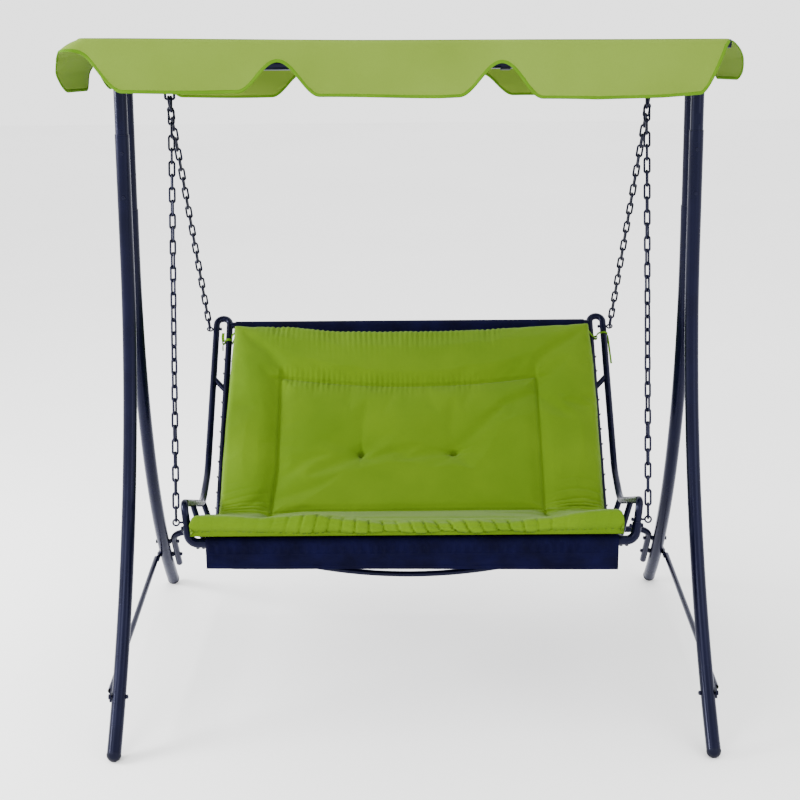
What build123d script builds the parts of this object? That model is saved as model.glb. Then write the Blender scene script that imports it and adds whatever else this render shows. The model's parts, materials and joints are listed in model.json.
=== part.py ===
from build123d import *
from math import cos, hypot, radians, sin, sqrt, tan
import os

# Two-seat garden swing with a tilting canopy.
# Millimetres, +Z up, the front of the seat faces -Y, X runs along the bench.
# Origin: on the ground, midway between the four feet.

os.makedirs("parts", exist_ok=True)

SIDES = (("left", -1), ("right", 1))
FIT = 0.06                # radial gap where one part is shaped round another

# Stand: two leaning side frames, each of two bowed legs and an inverted U.
FOOT_X = 784.0            # the side frame's centre plane at ground level
LEAN = 0.951              # degrees that each side frame leans inwards on the way up
BEAM_Z = 1737.0
BEND_R = 50.0
LEG_R = 19.0
LEG_BORE = 17.5
UPPER_R = 17.4
UPPER_BORE = 15.4
BOW_TOP = 1245.0          # height at which a leg's bow starts
BOW_R = 1708.0
FOOT_CENTRE_Z = 17.0
FOOT_R = 19.6
FOOT_STEM = 28.0
FRONT_MOUTH = 1560.0      # tops of the lower legs
REAR_MOUTH = 1342.0
FRONT_INSERT = 1370.0     # how far down the top bend reaches inside the legs
REAR_INSERT = 1254.0
FRONT_SCREWS = (1511.0, 1394.0)
REAR_SCREWS = (1316.0, 1278.0)
SCREW_R = 2.4
SCREW_REACH = 7.0
FACET_Z = 1590.0
FACET_HEIGHT = 30.0
FACET_DEPTH = 1.2
BEAM_HALF = 733.0
STUB_END = 672.0
BEAM_BOLTS = (712.0, 688.0)
BOLT_R = 3.0
BOLT_HEAD = (6.0, 3.0)    # head radius and height
BOLT_NUT = (5.5, 5.0)     # nut radius and height
WIDE_HEAD = (6.5, 3.5)
WIDE_NUT = (6.0, 5.0)
SCREW_HEAD = (4.6, 2.4)
THREAD = 1.5              # how far a bolt's tip stands out of its nut
HOLE_REACH = 40.0         # long enough to drill right through any tube
SEAT_GAP = 0.05           # between a head or nut and the face under it
BRACE_FRONT_Z = 129.0
BRACE_REAR_Z = 158.0
BRACE_R = 8.0
BRACE_BORE = 6.8
TAB_THICK = 5.0
TAB_LENGTH = 44.0
TAB_WIDTH = 22.0
TAB_GAP = 0.35
BAR_R = 10.0
BAR_BORE = 8.5
BAR_X = 746.0
BAR_CORNER = (361.0, 264.0)
BAR_END = (475.0, 113.0)
BAR_BEND = 42.0
BAR_UPPER_Z = 222.0
SPACER_R = 8.0

# Swing pivot: a U-bolt under the beam on each side carries two chains.
PIVOT_Z = 1645.0
HOOK_X = 634.0
HOOK_WIRE = 3.5
HOOK_HALF = 12.0
HOOK_BEND = 5.0
CHAIN_SPLIT = 3.3
NUT_R = 7.5
NUT_H = 6.5

# Chain: 6 mm wire, 35 mm pitch.
CHAIN_WIRE = 3.0
CHAIN_PITCH = 35.0
LINK_R = 7.0
LINK_HALF = 13.55         # half the straight part of a link
FRONT_LINKS = 31
REAR_LINKS = 25
TWIST = 90.0              # degrees that a front chain twists between its ends
EYE_R = 8.0
EYE_WIRE = 2.5
EYE_NUT = (5.0, 4.5)      # nut radius and height
FRONT_STEM = 17.0         # how far an eye's centre stands off its tube
REAR_STEM = 10.0
SNAP_R = 6.6
CROSS = 6.1               # distance between the centre lines of two hooked wires

# Canopy, in a plane through the beam's axis that is tilted with its front up.
TILT = 5.5
CANOPY_HALF_X = 744.0
CANOPY_HALF_Y = 500.0
CANOPY_RISE = 35.0        # tube centre lines above the beam's axis
CANOPY_R = 10.0
CANOPY_BORE = 8.7
END_INSET = 14.0          # from a cross tube's tip in to the side tube's centre line
CAP_FLANGE = 3.0
CAP_PLUG = 12.0
RAFTER_X = 255.0
SADDLE_R = 23.0
SADDLE_WIDTH = 26.0
SADDLE_STEM = 24.0
COVER_T = 2.5
COVER_IN = CANOPY_RISE + CANOPY_R + 0.6
COVER_HALF_Y = CANOPY_HALF_Y + CANOPY_R + 4.6
COVER_HALF_X = 764.0
SIDE_FLARE = 50.0
SIDE_DROP = 122.0
FRONT_DROP = 124.0
REAR_DROP = 154.0
SIDE_NOTCH = (60.0, 6.0)  # radius and centre height of the notch in a side valance's bottom edge
NOTCHES = (-307.0, 214.5)
NOTCH_R = 48.0
NOTCH_HEIGHT = 80.0
PANEL_CORNER = 30.0
END_CORNER = 62.0
END_GAP = 12.0            # the front and rear valances stop this far inside the top sheet's corners
KNOB_R = 16.0
KNOB_H = 18.0
KNOB_GAP = 5.0
KNOB_FLUTE = 4.5
KNOB_FLUTES = 6

# Seat frame in the Y-Z plane.
ARM_X = 591.0
RAIL_X = 551.0
TUBE_R = 10.0
TUBE_BORE = 8.5
POST_BASE = (577.0, -440.0, 557.0)    # where the post's axis meets the front rail's
POST_START = 0.28         # the post starts this share of the way up to the armrest's corner
ARM_FRONT = (591.0, -412.0, 658.0)
ARM_BEND = (591.0, -52.0, 518.0)
ARM_RISE = (591.0, 90.0, 560.0)
ARM_TOP = (464.0, 906.3)
STRAND_SLOPE = (906.3 - 560.0) / (464.0 - 90.0)
RAIL_FRONT = (-440.0, 557.0)
FOLD = (-53.0, 427.6)
FOLD_R = 75.0
TAIL = 75.0               # the arm tube's length below its arch
SPIGOT = 40.0
SPIGOT_WALL = 1.5
FRONT_R = 12.5
FRONT_BORE = 10.4
FRONT_BEND = 26.0
BEND_RUN = 23.0           # the front rail's bend starts this far inside its corner
FRONT_END = 0.44          # the front rail's end, as a share of the same line
FRONT_EYE_SHARE = 0.515
POST_BOLT_SHARE = 0.36
TOP_RAIL_BACK = 4.0       # the back top rail's distance below the arch, along the strand
TOP_RAIL_BORE = 6.0       # thick-walled: it balances the seat's front under the pivot
STRETCHER_Y = -140.0
STRETCHER_SAG = 111.0
STRUT_R = 8.0
STRUT_BORE = 6.5
STRUT_X = 566.0           # the struts' lower ends lie against the outsides of the side rails
ARM_STRUT_Y = -255.0
FOLD_STRUT_LOW = (-50.0, 440.5)
FOLD_STRUT_HIGH = (-52.0, 527.0)
LUG_SCREWS = (541.0, 556.0)
BACK_LINK_Y = 290.0
BACK_LINK_RISE = 34.0

# Soft parts.
CUSHION_X = 555.0
CUSHION_LIFT = 6.5
CUSHION_T = 52.5
CUSHION_ROUND = 24.0
CUSHION_FRONT = 62.0      # how far the cushion runs past the front rail
SLING_X = 533.0
SLING_DROP = 2.8
SLING_T = 2.0
HEM_R = 14.6
HEM_CLEAR = 2.5
TOP_HEM_R = 12.2
SKIRT_X = 538.0
SKIRT_BOTTOM = 488.0
LACE_R = 1.5
LACE_PITCH = 50.0
LACE_REACH = 26.0         # from the rail's centre line in to the sling's eyelets
CUSHION_TOP = 36.0        # the cushion's top end lies this far below the arch
TIE_BACK = 48.0
TIE_WIDTH = 10.0
TIE_T = 1.4


def side_plane(side):
    """A side frame's leaning plane: local x is +Y and local y runs up the frame."""
    lean = radians(LEAN)
    return Plane(origin=(side * FOOT_X, 0, 0), x_dir=(0, 1, 0), z_dir=(cos(lean), 0, side * sin(lean)))


def side_x(z):
    return FOOT_X - z * tan(radians(LEAN))


def leg_y(z):
    """Distance of a leg's centre line from the middle plane at height z."""
    return BEND_R + BOW_R - sqrt(BOW_R**2 - max(BOW_TOP - z, 0.0) ** 2)


def canopy_point(x, y, z):
    """A point of the tilted canopy frame; z is measured up from the beam's axis."""
    c, s = cos(radians(TILT)), sin(radians(TILT))
    return Vector(x, y * c + z * s, BEAM_Z - y * s + z * c)


def pipe(path, outer, bore=0.0, mode=Mode.ADD):
    with BuildSketch(Plane(origin=path @ 0, z_dir=path % 0)) as section:
        Circle(outer)
        if bore:
            Circle(bore, mode=Mode.SUBTRACT)
    sweep(sections=section.sketch, path=path, mode=mode)


def rod(start, end, radius, mode=Mode.ADD):
    start, end = Vector(*start), Vector(*end)
    with Locations(Location(Plane(origin=start, z_dir=end - start))):
        Cylinder(radius, (end - start).length, align=(Align.CENTER, Align.CENTER, Align.MIN), mode=mode)


def drill(centre, reach, radius):
    """A clearance hole through the centre, running both ways as far as the reach."""
    centre, reach = Vector(*centre), Vector(*reach)
    rod(centre - reach, centre + reach, radius + FIT, mode=Mode.SUBTRACT)


def bolt(head, tip, radius, head_r, head_h, nut_r=0.0, nut_h=0.0):
    """Head outside the first point, shank to the second, nut outside the second."""
    head, tip = Vector(*head), Vector(*tip)
    step = (tip - head).normalized()
    rod(head - step * head_h, head, head_r)
    rod(head, tip + step * (nut_h + (THREAD if nut_h else 0.0)), radius)
    if nut_h:
        rod(tip, tip + step * nut_h, nut_r)


def save(builder, name):
    builder.part.label = name
    export_step(builder.part, f"parts/{name}.step")


def biggest(builder):
    return builder.part.solids().sort_by(SortBy.VOLUME)[-1]


def leg_path(side, fore, top, bottom_z=FOOT_CENTRE_Z):
    """Centre line of one lower leg from its mouth to its foot."""
    def spot(z):
        return (fore * leg_y(z), z)
    mid = (BOW_TOP + bottom_z) / 2
    with BuildLine(side_plane(side)) as line:
        Line(spot(top), spot(BOW_TOP))
        ThreePointArc(spot(BOW_TOP), spot(mid), spot(bottom_z))
    return line.wire()


def screw_hole(side, fore, z, radius):
    x = side * side_x(z)
    rod((x, fore * (leg_y(z) + HOLE_REACH), z), (x, fore * leg_y(z), z), radius, mode=Mode.SUBTRACT)


# ---------------------------------------------------------------- stand
for name, side in SIDES:
    for end, fore, mouth, screws in (
        ("front", -1, FRONT_MOUTH, FRONT_SCREWS),
        ("rear", 1, REAR_MOUTH, REAR_SCREWS),
    ):
        route = leg_path(side, fore, mouth)
        cross = (BRACE_FRONT_Z,) if fore < 0 else (BRACE_REAR_Z, BAR_UPPER_Z)
        with BuildPart() as leg:
            pipe(route, LEG_R, LEG_BORE)
            for z in screws:
                screw_hole(side, fore, z, SCREW_R + FIT)
            for z in cross:
                x, y = side * side_x(z), fore * leg_y(z)
                drill((x, y, z), (HOLE_REACH, 0, 0), BOLT_R)
        save(leg, f"{name}_{end}_leg")

        tip, along = route @ 1, route % 1
        with BuildPart() as cap:
            with Locations(Location(Plane(origin=tip + along * 0.05, z_dir=along))):
                Sphere(FOOT_R, arc_size1=0, align=(Align.CENTER, Align.CENTER, Align.MIN))
            rod(tip + along, tip - along * FOOT_STEM, LEG_BORE - 0.4)
            split(bisect_by=Plane.XY, keep=Keep.TOP)
        save(cap, f"{name}_{end}_foot_cap")

    centre = BEAM_Z - BEND_R
    with BuildLine(side_plane(side)) as line:
        Line((-BEND_R, FRONT_INSERT), (-BEND_R, centre))
        ThreePointArc((-BEND_R, centre), (0, centre + BEND_R), (BEND_R, centre))
        Line((BEND_R, centre), (BEND_R, REAR_INSERT))
    route = line.wire()
    with BuildPart() as bend:
        crown, stub = (side * side_x(BEAM_Z), 0, BEAM_Z), (side * STUB_END, 0, BEAM_Z)
        rod(crown, stub, UPPER_R)
        rod(crown, stub, UPPER_BORE, mode=Mode.SUBTRACT)
        pipe(route, UPPER_R)
        pipe(route, UPPER_BORE, mode=Mode.SUBTRACT)
        with Locations((side * side_x(FACET_Z), -BEND_R - UPPER_R, FACET_Z)):
            Box(2 * LEG_R, 2 * FACET_DEPTH, FACET_HEIGHT, mode=Mode.SUBTRACT)
        for fore, screws in ((-1, FRONT_SCREWS), (1, REAR_SCREWS)):
            for z in screws:
                screw_hole(side, fore, z, SCREW_R + FIT)
        for x in BEAM_BOLTS:
            drill((side * x, 0, BEAM_Z), (0, 0, HOLE_REACH), BOLT_R)
    save(bend, f"{name}_top_bend")

with BuildPart() as beam:
    rod((-BEAM_HALF, 0, BEAM_Z), (BEAM_HALF, 0, BEAM_Z), LEG_R)
    rod((-BEAM_HALF, 0, BEAM_Z), (BEAM_HALF, 0, BEAM_Z), LEG_BORE, mode=Mode.SUBTRACT)
    for side in (-1, 1):
        for x in BEAM_BOLTS:
            drill((side * x, 0, BEAM_Z), (0, 0, HOLE_REACH), BOLT_R)
        for x in (HOOK_X - HOOK_HALF, HOOK_X + HOOK_HALF):
            drill((side * x, 0, BEAM_Z), (0, 0, HOLE_REACH), HOOK_WIRE)
save(beam, "top_beam")

with BuildPart() as beam_bolts:
    for side in (-1, 1):
        for x in BEAM_BOLTS:
            top, bottom = (side * x, 0, BEAM_Z + LEG_R + SEAT_GAP), (side * x, 0, BEAM_Z - LEG_R - SEAT_GAP)
            bolt(top, bottom, BOLT_R, *BOLT_HEAD, *BOLT_NUT)
save(beam_bolts, "beam_bolts")

with BuildPart() as leg_screws:
    for _, side in SIDES:
        for fore, screws in ((-1, FRONT_SCREWS), (1, REAR_SCREWS)):
            for z in screws:
                face = fore * (leg_y(z) + LEG_R + SEAT_GAP)
                x = side * side_x(z)
                bolt((x, face, z), (x, face - fore * SCREW_REACH, z), SCREW_R, *SCREW_HEAD)
save(leg_screws, "leg_joint_screws")

# A bent brace tube lies outside each pair of legs; its ends are pressed flat.
for name, side in SIDES:
    front = Vector(side * (side_x(BRACE_FRONT_Z) + LEG_R + TAB_GAP), -leg_y(BRACE_FRONT_Z), BRACE_FRONT_Z)
    rear = Vector(side * (side_x(BRACE_REAR_Z) + LEG_R + TAB_GAP), leg_y(BRACE_REAR_Z), BRACE_REAR_Z)
    along = (rear - front).normalized()
    outwards = Vector(side, 0, 0)
    with BuildPart() as brace:
        shift = outwards * BRACE_R
        start, end = front + along * (TAB_LENGTH * 0.7) + shift, rear - along * (TAB_LENGTH * 0.7) + shift
        rod(start, end, BRACE_R)
        rod(start, end, BRACE_BORE, mode=Mode.SUBTRACT)
        for spot in (front + along * (TAB_LENGTH * 0.27), rear - along * (TAB_LENGTH * 0.27)):
            with Locations(Location(Plane(origin=spot, x_dir=along, z_dir=outwards))):
                Box(TAB_LENGTH, TAB_WIDTH, TAB_THICK, align=(Align.CENTER, Align.CENTER, Align.MIN))
        for spot in (front, rear):
            drill(spot, outwards * HOLE_REACH, BOLT_R)
    save(brace, f"{name}_brace")


def bar_y(z):
    share = (BAR_CORNER[1] - z) / (BAR_CORNER[1] - BAR_END[1])
    return BAR_CORNER[0] + share * (BAR_END[0] - BAR_CORNER[0])


with BuildPart() as crossbar:
    with BuildLine() as line:
        FilletPolyline(
            (-BAR_X, *BAR_END),
            (-BAR_X, *BAR_CORNER),
            (BAR_X, *BAR_CORNER),
            (BAR_X, *BAR_END),
            radius=BAR_BEND,
        )
    route = line.wire()
    pipe(route, BAR_R, BAR_BORE)
    for side in (-1, 1):
        for z in (BRACE_REAR_Z, BAR_UPPER_Z):
            x = side * BAR_X
            drill((x, leg_y(z), z), (HOLE_REACH, 0, 0), BOLT_R)
save(crossbar, "rear_crossbar")

with BuildPart() as spacers:
    for side in (-1, 1):
        for z in (BRACE_REAR_Z, BAR_UPPER_Z):
            inner = side * (BAR_X + BAR_R + 0.05)
            outer = side * (side_x(z) - LEG_R - 0.15)
            rod((inner, leg_y(z), z), (outer, leg_y(z), z), SPACER_R)
            rod((inner, leg_y(z), z), (outer, leg_y(z), z), BOLT_R + FIT, mode=Mode.SUBTRACT)
save(spacers, "crossbar_spacers")

with BuildPart() as brace_bolts:
    for side in (-1, 1):
        x, y, z = side_x(BRACE_FRONT_Z), -leg_y(BRACE_FRONT_Z), BRACE_FRONT_Z
        head = (side * (x + LEG_R + TAB_GAP + 0.1 + TAB_THICK), y, z)
        bolt(head, (side * (x - LEG_R - 0.1), y, z), BOLT_R, *WIDE_HEAD, *WIDE_NUT)
save(brace_bolts, "brace_bolts")

with BuildPart() as crossbar_bolts:
    for side in (-1, 1):
        for z, plate in ((BRACE_REAR_Z, TAB_THICK), (BAR_UPPER_Z, 0.0)):
            head = (side * (side_x(z) + LEG_R + TAB_GAP + 0.1 + plate), leg_y(z), z)
            bolt(head, (side * (BAR_X - BAR_R - SEAT_GAP), leg_y(z), z), BOLT_R, *WIDE_HEAD, *WIDE_NUT)
save(crossbar_bolts, "crossbar_bolts")

for name, side in SIDES:
    low, high = PIVOT_Z, BEAM_Z + LEG_R + NUT_H + 5
    with BuildPart() as hook:
        with BuildLine() as line:
            FilletPolyline(
                (side * HOOK_X - HOOK_HALF, 0, high),
                (side * HOOK_X - HOOK_HALF, 0, low),
                (side * HOOK_X + HOOK_HALF, 0, low),
                (side * HOOK_X + HOOK_HALF, 0, high),
                radius=HOOK_BEND,
            )
        pipe(line.wire(), HOOK_WIRE)
        for x in (side * HOOK_X - HOOK_HALF, side * HOOK_X + HOOK_HALF):
            for z in (BEAM_Z + LEG_R + 0.1, BEAM_Z - LEG_R - 0.1 - NUT_H):
                rod((x, 0, z), (x, 0, z + NUT_H), NUT_R)
    save(hook, f"{name}_chain_hook")

# ---------------------------------------------------------------- canopy
canopy_axis = Vector(0, sin(radians(TILT)), cos(radians(TILT)))

for name, fore in (("front", -1), ("rear", 1)):
    with BuildPart() as tube:
        start = canopy_point(-CANOPY_HALF_X, fore * CANOPY_HALF_Y, CANOPY_RISE)
        end = canopy_point(CANOPY_HALF_X, fore * CANOPY_HALF_Y, CANOPY_RISE)
        rod(start, end, CANOPY_R)
        rod(start, end, CANOPY_BORE, mode=Mode.SUBTRACT)
    save(tube, f"canopy_{name}_tube")

long_members = [(f"canopy_{name}_tube", side * (CANOPY_HALF_X - END_INSET)) for name, side in SIDES]
long_members += [(f"canopy_{name}_rafter", side * RAFTER_X) for name, side in SIDES]
for name, x in long_members:
    with BuildPart() as tube:
        start = canopy_point(x, -CANOPY_HALF_Y, CANOPY_RISE)
        end = canopy_point(x, CANOPY_HALF_Y, CANOPY_RISE)
        rod(start, end, CANOPY_R)
        rod(start, end, CANOPY_BORE, mode=Mode.SUBTRACT)
        for fore in (-1, 1):
            drill(canopy_point(x, fore * CANOPY_HALF_Y, CANOPY_RISE), (HOLE_REACH, 0, 0), CANOPY_R)
    with BuildPart() as member:
        add(biggest(tube))
    save(member, name)

with BuildPart() as saddles:
    for side in (-1, 1):
        x = side * RAFTER_X
        a, b = (x - SADDLE_WIDTH / 2, 0, BEAM_Z), (x + SADDLE_WIDTH / 2, 0, BEAM_Z)
        rod(a, b, SADDLE_R)
        with Locations(Location(Plane(origin=canopy_point(x, 0, 0), x_dir=(1, 0, 0), z_dir=canopy_axis))):
            Box(SADDLE_WIDTH, SADDLE_STEM, CANOPY_RISE, align=(Align.CENTER, Align.CENTER, Align.MIN))
        rod(a, b, LEG_R + 0.35, mode=Mode.SUBTRACT)
        along = canopy_point(0, HOLE_REACH, 0) - canopy_point(0, 0, 0)
        drill(canopy_point(x, 0, CANOPY_RISE), along, CANOPY_R)
        rod((x, 0, BEAM_Z), (x, HOLE_REACH, BEAM_Z), BOLT_R + FIT, mode=Mode.SUBTRACT)
save(saddles, "canopy_saddles")


def hanging_panel(half_width, top, drop, notches, end_round):
    """Outline of a hanging valance, drawn from its top edge down."""
    bottom = top - drop
    with BuildSketch(mode=Mode.PRIVATE) as outline:
        with Locations((0, (top + bottom) / 2)):
            Rectangle(2 * half_width, drop)
        for x in notches:
            with Locations((x, bottom + NOTCH_HEIGHT - NOTCH_R)):
                Circle(NOTCH_R, mode=Mode.SUBTRACT)
            with Locations((x, bottom)):
                Rectangle(2 * NOTCH_R, 2 * (NOTCH_HEIGHT - NOTCH_R), mode=Mode.SUBTRACT)
        low = outline.vertices().filter_by(lambda v: abs(v.Y - bottom) < 0.5)
        fillet(low.filter_by(lambda v: abs(v.X) < half_width - 1), PANEL_CORNER)
        low = outline.vertices().filter_by(lambda v: abs(v.Y - bottom) < 0.5)
        fillet(low.filter_by(lambda v: abs(v.X) > half_width - 1), end_round)
    return outline.sketch


# The cover: a taut top sheet with a hanging valance on each side, open underneath.
with BuildPart() as cover:
    with Locations(Location(Plane(origin=canopy_point(0, 0, COVER_IN), x_dir=(1, 0, 0), z_dir=canopy_axis))):
        Box(2 * COVER_HALF_X, 2 * COVER_HALF_Y, COVER_T, align=(Align.CENTER, Align.CENTER, Align.MIN))
    for fore, drop in ((-1, FRONT_DROP), (1, REAR_DROP)):
        edge = canopy_point(0, fore * (COVER_HALF_Y - COVER_T / 2), COVER_IN + COVER_T / 2)
        with BuildSketch(Plane(origin=(0, edge.Y + COVER_T / 2, 0), x_dir=(1, 0, 0), z_dir=(0, -1, 0))):
            add(hanging_panel(COVER_HALF_X - END_GAP, edge.Z, drop, NOTCHES, END_CORNER))
        extrude(amount=COVER_T)
    with BuildPart(mode=Mode.PRIVATE) as skirts:
        top = COVER_IN + COVER_T
        knee = top - SIDE_FLARE
        for side in (-1, 1):
            inner, outer = COVER_HALF_X - 2 * COVER_T, COVER_HALF_X + SIDE_FLARE - COVER_T
            start = canopy_point(0, -COVER_HALF_Y, 0)
            facing = (0, -side * cos(radians(TILT)), side * sin(radians(TILT)))
            with BuildSketch(Plane(origin=start, x_dir=(side, 0, 0), z_dir=facing)):
                with BuildLine():
                    Polyline(
                        (inner, top),
                        (outer, knee),
                        (outer, top - SIDE_DROP),
                        (outer + COVER_T, top - SIDE_DROP),
                        (outer + COVER_T, knee),
                        (COVER_HALF_X - COVER_T, top),
                        close=True,
                    )
                make_face()
            extrude(amount=-side * 2 * COVER_HALF_Y)
    add(skirts.part)
    notch_r, notch_rise = SIDE_NOTCH
    z = COVER_IN - SIDE_DROP + notch_rise
    for side in (-1, 1):
        near = canopy_point(side * (COVER_HALF_X + CANOPY_R), 0, z)
        far = canopy_point(side * (COVER_HALF_X + 2 * SIDE_FLARE), 0, z)
        rod(near, far, notch_r, mode=Mode.SUBTRACT)
save(cover, "canopy_cover")


# ---------------------------------------------------------------- seat frame
RUN = hypot(1.0, STRAND_SLOPE)
UP_STRAND = Vector(0, 1 / RUN, STRAND_SLOPE / RUN)
STRAND_FACE = Vector(0, -STRAND_SLOPE / RUN, 1 / RUN)      # square to the strand, facing the sitter


def post_point(side, share):
    """A point on the front post's axis, from the front rail up to the armrest's corner."""
    point = Vector(*POST_BASE) * (1 - share) + Vector(*ARM_FRONT) * share
    return Vector(side * point.X, point.Y, point.Z)


def arm_path(side):
    """Post, armrest, back strand, arch and tail, as one bent tube."""
    top = Vector(side * ARM_X, *ARM_TOP)
    tail = Vector(side * RAIL_X, *ARM_TOP)
    middle = (top + tail) * 0.5
    arch_r = (ARM_X - RAIL_X) / 2
    with BuildLine() as line:
        FilletPolyline(
            post_point(side, POST_START),
            (side * ARM_FRONT[0], *ARM_FRONT[1:]),
            (side * ARM_BEND[0], *ARM_BEND[1:]),
            (side * ARM_RISE[0], *ARM_RISE[1:]),
            top,
            radius=(24, 150, 150),
        )
        ThreePointArc(top, middle + UP_STRAND * arch_r, tail)
        Line(tail, tail - UP_STRAND * TAIL)
    return line.wire()


def rail_path(side):
    """Side rail's centre line from the arm tube's tail to the front rail."""
    x = side * RAIL_X
    start = Vector(x, *ARM_TOP) - UP_STRAND * TAIL
    with BuildLine() as line:
        FilletPolyline(start, (x, *FOLD), (x, *RAIL_FRONT), radius=FOLD_R)
    return line.wire()


def front_rail_path():
    with BuildLine() as line:
        FilletPolyline(
            post_point(-1, FRONT_END),
            post_point(-1, 0),
            post_point(1, 0),
            post_point(1, FRONT_END),
            radius=FRONT_BEND,
        )
    return line.wire()


def carve(path, radius):
    """Cuts away the room that a round tube along the path takes up."""
    pipe(path, radius + FIT, mode=Mode.SUBTRACT)


# The rear eye bolt's height makes a whole number of links reach it.
REAR_EYE_X = ARM_X + TUBE_R + REAR_STEM
REAR_SPAN = LINK_HALF + CHAIN_PITCH * (REAR_LINKS - 1) + LINK_HALF + LINK_R - CROSS + EYE_R
flat_span = sqrt(REAR_SPAN**2 - (HOOK_X + CHAIN_SPLIT - REAR_EYE_X) ** 2)
rise = ARM_TOP[1] - STRAND_SLOPE * ARM_TOP[0]
# Where the strand's line crosses the circle that the chain's end can reach.
qa = 1 + STRAND_SLOPE**2
qb = 2 * STRAND_SLOPE * (rise - PIVOT_Z)
qc = (rise - PIVOT_Z) ** 2 - flat_span**2
REAR_EYE_Y = (-qb - sqrt(qb**2 - 4 * qa * qc)) / (2 * qa)
REAR_EYE = Vector(REAR_EYE_X, REAR_EYE_Y, rise + STRAND_SLOPE * REAR_EYE_Y)

FRONT_EYE = post_point(1, FRONT_EYE_SHARE) + Vector(TUBE_R + FRONT_STEM, 0, 0)
front_start = Vector(HOOK_X - CHAIN_SPLIT, 0, PIVOT_Z)
front_chain = LINK_HALF + CHAIN_PITCH * (FRONT_LINKS - 1) + LINK_HALF + LINK_R
SNAP_LENGTH = (FRONT_EYE - front_start).length - front_chain + 2 * CROSS - EYE_R


def mirrored(point, side):
    return Vector(side * point.X, point.Y, point.Z)


def ring(centre, along, across, radius, half, wire):
    """A closed link: its length runs along one direction and its width across."""
    plane = Plane(origin=centre, x_dir=along, z_dir=along.cross(across))
    with BuildLine(plane) as line:
        Line((-half, -radius), (half, -radius))
        ThreePointArc((half, -radius), (half + radius, 0), (half, radius))
        Line((half, radius), (-half, radius))
        ThreePointArc((-half, radius), (-half - radius, 0), (-half, -radius))
    pipe(line.wire(), wire)


def chain(start, end, count, twist):
    """Links from the hook towards the end point, each turned 90 degrees from the last."""
    along = (end - start).normalized()
    flat = Vector(0, -along.Z, along.Y).normalized()
    side_way = along.cross(flat).normalized()
    for i in range(count):
        angle = radians(90 * i + twist * i / max(count - 1, 1))
        across = flat * cos(angle) + side_way * sin(angle)
        ring(start + along * (LINK_HALF + CHAIN_PITCH * i), along, across, LINK_R, LINK_HALF, CHAIN_WIRE)


for name, side in SIDES:
    start = Vector(side * (HOOK_X - CHAIN_SPLIT), 0, PIVOT_Z)
    end = mirrored(FRONT_EYE, side)
    with BuildPart() as front_links:
        chain(start, end, FRONT_LINKS, side * TWIST)
    save(front_links, f"{name}_front_chain")

    along = (end - start).normalized()
    flat = Vector(0, -along.Z, along.Y).normalized()
    top = front_chain - CROSS
    with BuildPart() as snap:
        half = SNAP_LENGTH / 2 - SNAP_R
        middle = start + along * (top + SNAP_LENGTH / 2)
        ring(middle, along, flat, SNAP_R, half, EYE_WIRE)
    save(snap, f"{name}_snap_hook")

    start = Vector(side * (HOOK_X + CHAIN_SPLIT), 0, PIVOT_Z)
    with BuildPart() as rear_links:
        chain(start, mirrored(REAR_EYE, side), REAR_LINKS, 0.0)
    save(rear_links, f"{name}_rear_chain")

for name, side in SIDES:
    arm = arm_path(side)
    rail = rail_path(side)
    with BuildPart() as tube:
        pipe(arm, TUBE_R, TUBE_BORE)
        for spot in (mirrored(FRONT_EYE, side), mirrored(REAR_EYE, side), post_point(side, POST_BOLT_SHARE)):
            drill(spot, (HOLE_REACH, 0, 0), BOLT_R)
    save(tube, f"{name}_arm_tube")

    with BuildPart() as tube:
        pipe(rail, TUBE_R, TUBE_BORE)
        tip, along = rail @ 0, rail % 0
        spigot = TUBE_BORE - FIT
        rod(tip - along * SPIGOT, tip + along * TUBE_R, spigot)
        rod(tip - along * SPIGOT, tip + along * TUBE_R, spigot - SPIGOT_WALL, mode=Mode.SUBTRACT)
        carve(front_rail_path(), FRONT_R)
    with BuildPart() as whole:
        add(biggest(tube))
    save(whole, f"{name}_side_rail")

for place, points, stem, split in (
    ("front", FRONT_EYE, FRONT_STEM, -CHAIN_SPLIT),
    ("rear", REAR_EYE, REAR_STEM, CHAIN_SPLIT),
):
    with BuildPart() as eye_bolts:
        for side in (-1, 1):
            eye = mirrored(points, side)
            out = Vector(side, 0, 0)
            start = Vector(side * (HOOK_X + split), 0, PIVOT_Z)
            along = (eye - start).normalized()
            with Locations(Location(Plane(origin=eye, x_dir=out, z_dir=out.cross(along)))):
                Torus(EYE_R, EYE_WIRE)
            nut = eye - out * (stem + 2 * TUBE_R + 1.0)
            rod(eye - out * EYE_R, nut - out * (EYE_NUT[1] + THREAD), BOLT_R)
            rod(nut, nut - out * EYE_NUT[1], EYE_NUT[0])
    save(eye_bolts, f"{place}_eye_bolts")

with BuildPart() as front_rail:
    pipe(front_rail_path(), FRONT_R, FRONT_BORE)
    for side in (-1, 1):
        spot = post_point(side, POST_BOLT_SHARE)
        drill(spot, (HOLE_REACH, 0, 0), BOLT_R)
        for x in LUG_SCREWS:
            y, z = RAIL_FRONT
            rod((side * x, y, z), (side * x, y, z - HOLE_REACH), SCREW_R + FIT, mode=Mode.SUBTRACT)
save(front_rail, "seat_front_rail")


def on_strand(x, along, out):
    """A point beside the back strand: along it from the arch, and out towards the sitter."""
    return Vector(x, *ARM_TOP) + UP_STRAND * along + STRAND_FACE * out


SEAT_RUN = Vector(0, RAIL_FRONT[0] - FOLD[0], RAIL_FRONT[1] - FOLD[1]).normalized()
SEAT_FACE = Vector(0, SEAT_RUN.Z, -SEAT_RUN.Y)


def fold_corner(out):
    """The corner between seat and back, moved out from the side rails' centre lines."""
    middle = (SEAT_FACE + STRAND_FACE).normalized()
    return Vector(0, *FOLD) + middle * (out / middle.dot(SEAT_FACE))


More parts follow.
